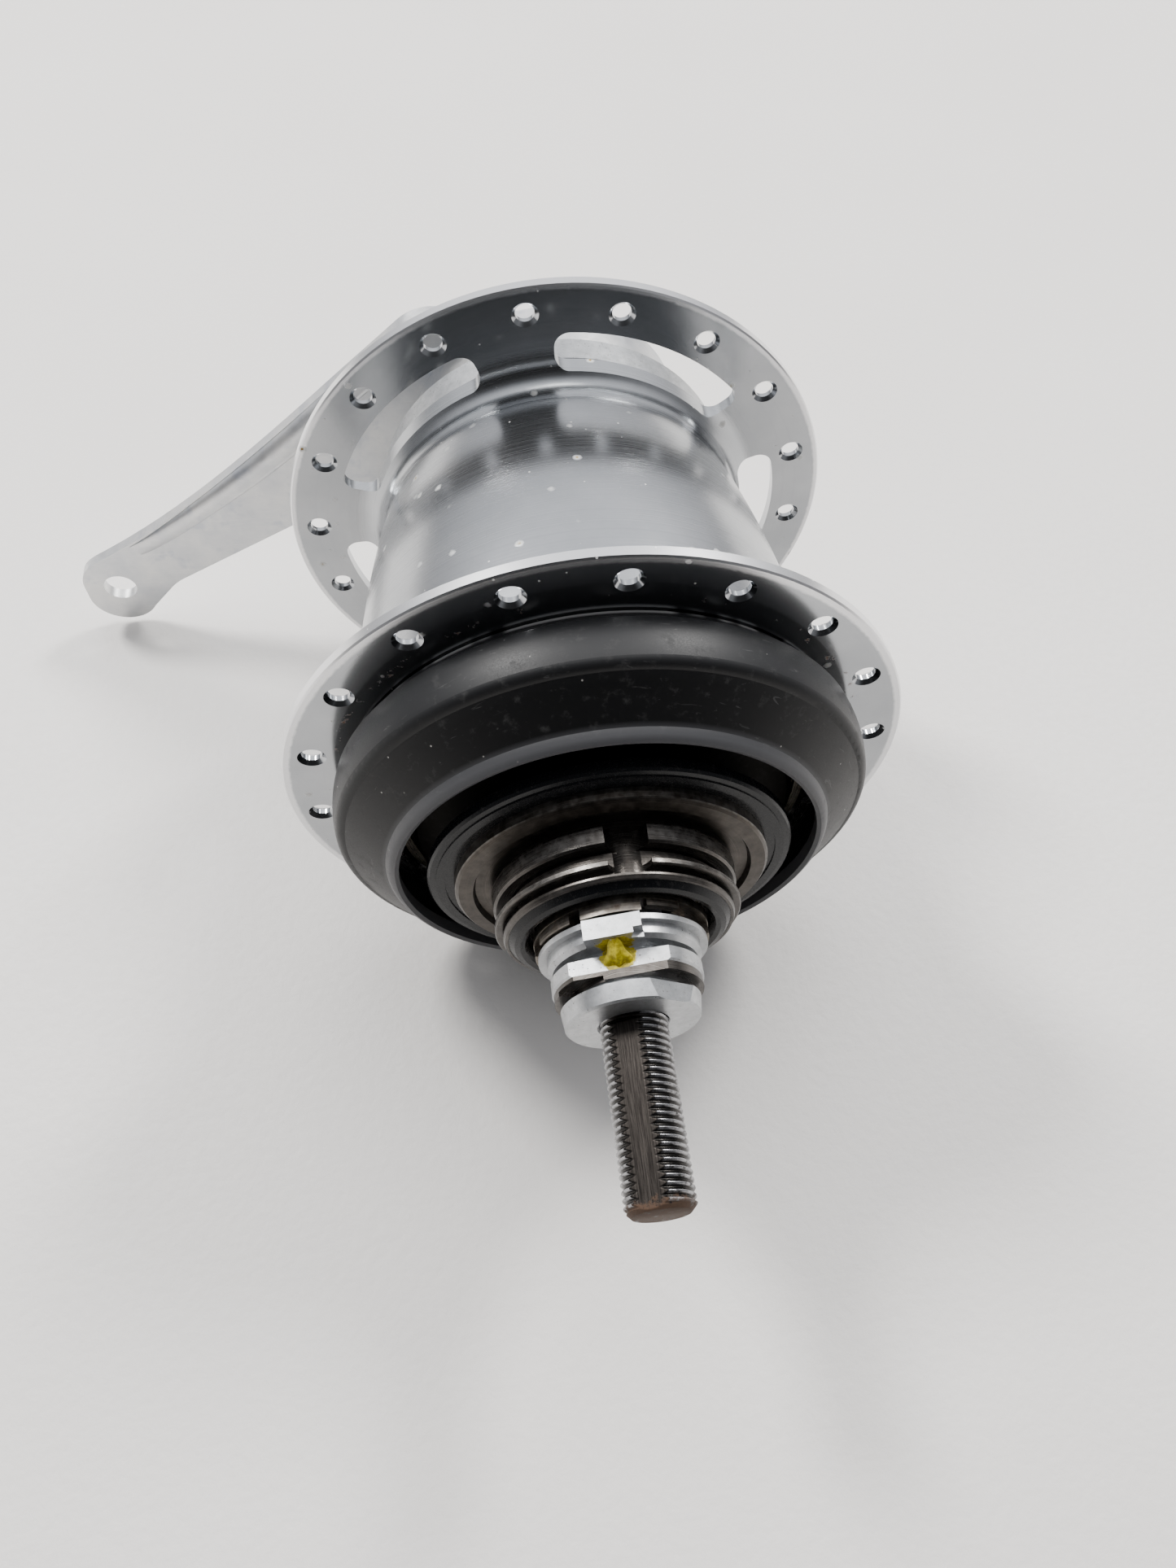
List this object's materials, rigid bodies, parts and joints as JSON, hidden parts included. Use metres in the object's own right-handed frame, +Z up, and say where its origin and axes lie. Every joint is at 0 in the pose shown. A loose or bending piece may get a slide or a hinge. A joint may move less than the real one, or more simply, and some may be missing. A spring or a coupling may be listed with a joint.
{
  "type": "bicycle hub gear",
  "caption": "Internally geared bicycle rear hub with coaster brake: spoke-flanged shell, driver, threaded axle, planetary gears and brake arm.",
  "frame": {"origin": "centre of the outer face of the drive-side locknut, on the axle's axis", "axes": "+Y along the axle from the drive side to the brake side, +Z up, with the brake arm reaching towards -X and slightly down"},
  "size_m": [0.1454, 0.1755, 0.0956],
  "materials": {
    "cast_alloy": "satin cast and turned aluminium with fine turning lines",
    "black_plastic": "matte black moulded plastic",
    "black_rubber": "black rubber",
    "axle_steel": "dark rolled-thread steel, oiled, light rust at the end",
    "zinc_steel": "bright zinc plate, slightly grainy",
    "dark_steel": "dark bare steel, brownish with wear",
    "bronzed_steel": "bronze-brown pressed steel",
    "gear_steel": "ground hardened steel, oiled",
    "ball_steel": "polished bearing steel",
    "retainer_steel": "pressed steel",
    "shoe_bronze": "phosphor bronze",
    "arm_zinc": "satin zinc-plated pressing",
    "spring_steel": "blued spring steel",
    "selector_steel": "brown rust-stained steel"
  },
  "bodies": {
    "axle_set": {"axle": "axle_steel", "drive_locknut": "zinc_steel", "drive_washer": "dark_steel", "drive_stop_nut": "zinc_steel", "drive_cone": "zinc_steel", "sun_gear_large": "gear_steel", "sun_gear_small": "gear_steel", "sun_spacer": "gear_steel", "axle_circlips": "spring_steel", "shift_spring": "spring_steel", "shoe_spring": "spring_steel", "brake_cone": "gear_steel", "brake_dust_cap": "zinc_steel", "brake_arm": "arm_zinc", "brake_arm_nut": "zinc_steel"},
    "shell_set": {"shell": "cast_alloy", "dust_cap": "black_plastic", "drive_ball_cup": "gear_steel", "output_ring_gear": "gear_steel", "clutch_rollers": "ball_steel", "clutch_cage": "retainer_steel", "clutch_outer_race": "gear_steel", "brake_drum": "gear_steel", "brake_ball_cup": "gear_steel"},
    "driver_set": {"driver": "dark_steel", "driver_cover": "bronzed_steel", "seal_ring": "black_rubber", "mouth_seal": "black_rubber", "input_ring_gear": "gear_steel"},
    "carrier_set": {"planet_carrier": "gear_steel", "planet_pins": "gear_steel"},
    "selector_set": {"shift_ring": "selector_steel", "shift_sleeve": "gear_steel", "shift_cam": "gear_steel"},
    "driver_ball_set": {"driver_balls": "ball_steel", "driver_ball_retainer": "retainer_steel"},
    "drive_ball_set": {"drive_balls": "ball_steel", "drive_ball_retainer": "retainer_steel"},
    "brake_ball_set": {"brake_balls": "ball_steel", "brake_ball_retainer": "retainer_steel"},
    "brake_cam_set": {"brake_cam": "gear_steel"},
    "shoe_1_set": {"brake_shoe_1": "shoe_bronze", "brake_roller_1": "ball_steel"},
    "shoe_2_set": {"brake_shoe_2": "shoe_bronze", "brake_roller_2": "ball_steel"},
    "shoe_3_set": {"brake_shoe_3": "shoe_bronze", "brake_roller_3": "ball_steel"},
    "input_planet_1_set": {"input_planet_1": "gear_steel"},
    "input_planet_2_set": {"input_planet_2": "gear_steel"},
    "input_planet_3_set": {"input_planet_3": "gear_steel"},
    "input_planet_4_set": {"input_planet_4": "gear_steel"},
    "output_planet_1_set": {"output_planet_1": "gear_steel"},
    "output_planet_2_set": {"output_planet_2": "gear_steel"},
    "output_planet_3_set": {"output_planet_3": "gear_steel"},
    "output_planet_4_set": {"output_planet_4": "gear_steel"}
  },
  "joints": [
    {"name": "shell_spin", "type": "hinge", "parent": "axle_set", "child": "shell_set", "pos_m": [0, 0, 0], "axis": [0, 1, 0], "continuous": true},
    {"name": "driver_spin", "type": "hinge", "parent": "axle_set", "child": "driver_set", "pos_m": [0, 0, 0], "axis": [0, 1, 0], "continuous": true},
    {"name": "carrier_spin", "type": "hinge", "parent": "axle_set", "child": "carrier_set", "pos_m": [0, 0, 0], "axis": [0, 1, 0], "continuous": true},
    {"name": "input_planet_1_spin", "type": "hinge", "parent": "carrier_set", "child": "input_planet_1_set", "pos_m": [0.019, 0.044, 0], "axis": [0, 1, 0], "continuous": true},
    {"name": "input_planet_2_spin", "type": "hinge", "parent": "carrier_set", "child": "input_planet_2_set", "pos_m": [0, 0.044, 0.019], "axis": [0, 1, 0], "continuous": true},
    {"name": "input_planet_3_spin", "type": "hinge", "parent": "carrier_set", "child": "input_planet_3_set", "pos_m": [-0.019, 0.044, 0], "axis": [0, 1, 0], "continuous": true},
    {"name": "input_planet_4_spin", "type": "hinge", "parent": "carrier_set", "child": "input_planet_4_set", "pos_m": [0, 0.044, -0.019], "axis": [0, 1, 0], "continuous": true},
    {"name": "output_planet_1_spin", "type": "hinge", "parent": "carrier_set", "child": "output_planet_1_set", "pos_m": [0.01202, 0.044, 0.01202], "axis": [0, 1, 0], "continuous": true},
    {"name": "output_planet_2_spin", "type": "hinge", "parent": "carrier_set", "child": "output_planet_2_set", "pos_m": [-0.01202, 0.044, 0.01202], "axis": [0, 1, 0], "continuous": true},
    {"name": "output_planet_3_spin", "type": "hinge", "parent": "carrier_set", "child": "output_planet_3_set", "pos_m": [-0.01202, 0.044, -0.01202], "axis": [0, 1, 0], "continuous": true},
    {"name": "output_planet_4_spin", "type": "hinge", "parent": "carrier_set", "child": "output_planet_4_set", "pos_m": [0.01202, 0.044, -0.01202], "axis": [0, 1, 0], "continuous": true},
    {"name": "driver_balls_roll", "type": "hinge", "parent": "axle_set", "child": "driver_ball_set", "pos_m": [0, 0, 0], "axis": [0, 1, 0], "continuous": true},
    {"name": "drive_balls_roll", "type": "hinge", "parent": "axle_set", "child": "drive_ball_set", "pos_m": [0, 0, 0], "axis": [0, 1, 0], "continuous": true},
    {"name": "brake_balls_roll", "type": "hinge", "parent": "axle_set", "child": "brake_ball_set", "pos_m": [0, 0, 0], "axis": [0, 1, 0], "continuous": true},
    {"name": "selector_turn", "type": "hinge", "parent": "axle_set", "child": "selector_set", "pos_m": [0, 0.013, 0], "axis": [0, 1, 0], "range_deg": [0, 72], "stiffness_Nm_per_rad": 0.05, "springref_deg": -34.38},
    {"name": "brake_cam_turn", "type": "hinge", "parent": "axle_set", "child": "brake_cam_set", "pos_m": [0, 0.08, 0], "axis": [0, 1, 0], "range_deg": [-15, 0], "stiffness_Nm_per_rad": 2, "springref_deg": 5.73},
    {"name": "shoe_1_lift", "type": "slide", "parent": "axle_set", "child": "shoe_1_set", "axis": [0, 0, 1], "range_m": [0, 0.00035]},
    {"name": "shoe_2_lift", "type": "slide", "parent": "axle_set", "child": "shoe_2_set", "axis": [-0.866, 0, -0.5], "range_m": [0, 0.00035]},
    {"name": "shoe_3_lift", "type": "slide", "parent": "axle_set", "child": "shoe_3_set", "axis": [0.866, 0, -0.5], "range_m": [0, 0.00035]}
  ],
  "couplings": [
    {"joint": "driver_spin", "follows": "shell_spin", "ratio": 1.0245},
    {"joint": "carrier_spin", "follows": "shell_spin", "ratio": 0.64706},
    {"joint": "input_planet_1_spin", "follows": "shell_spin", "ratio": 1.8118},
    {"joint": "input_planet_2_spin", "follows": "shell_spin", "ratio": 1.8118},
    {"joint": "input_planet_3_spin", "follows": "shell_spin", "ratio": 1.8118},
    {"joint": "input_planet_4_spin", "follows": "shell_spin", "ratio": 1.8118},
    {"joint": "output_planet_1_spin", "follows": "shell_spin", "ratio": 1.5529},
    {"joint": "output_planet_2_spin", "follows": "shell_spin", "ratio": 1.5529},
    {"joint": "output_planet_3_spin", "follows": "shell_spin", "ratio": 1.5529},
    {"joint": "output_planet_4_spin", "follows": "shell_spin", "ratio": 1.5529},
    {"joint": "driver_balls_roll", "follows": "shell_spin", "ratio": 0.60465},
    {"joint": "drive_balls_roll", "follows": "shell_spin", "ratio": 1.0115},
    {"joint": "brake_balls_roll", "follows": "shell_spin", "ratio": 0.55291},
    {"joint": "shoe_1_lift", "follows": "brake_cam_turn", "m_per_rad": -0.0013369},
    {"joint": "shoe_2_lift", "follows": "brake_cam_turn", "m_per_rad": -0.0013369},
    {"joint": "shoe_3_lift", "follows": "brake_cam_turn", "m_per_rad": -0.0013369}
  ]
}
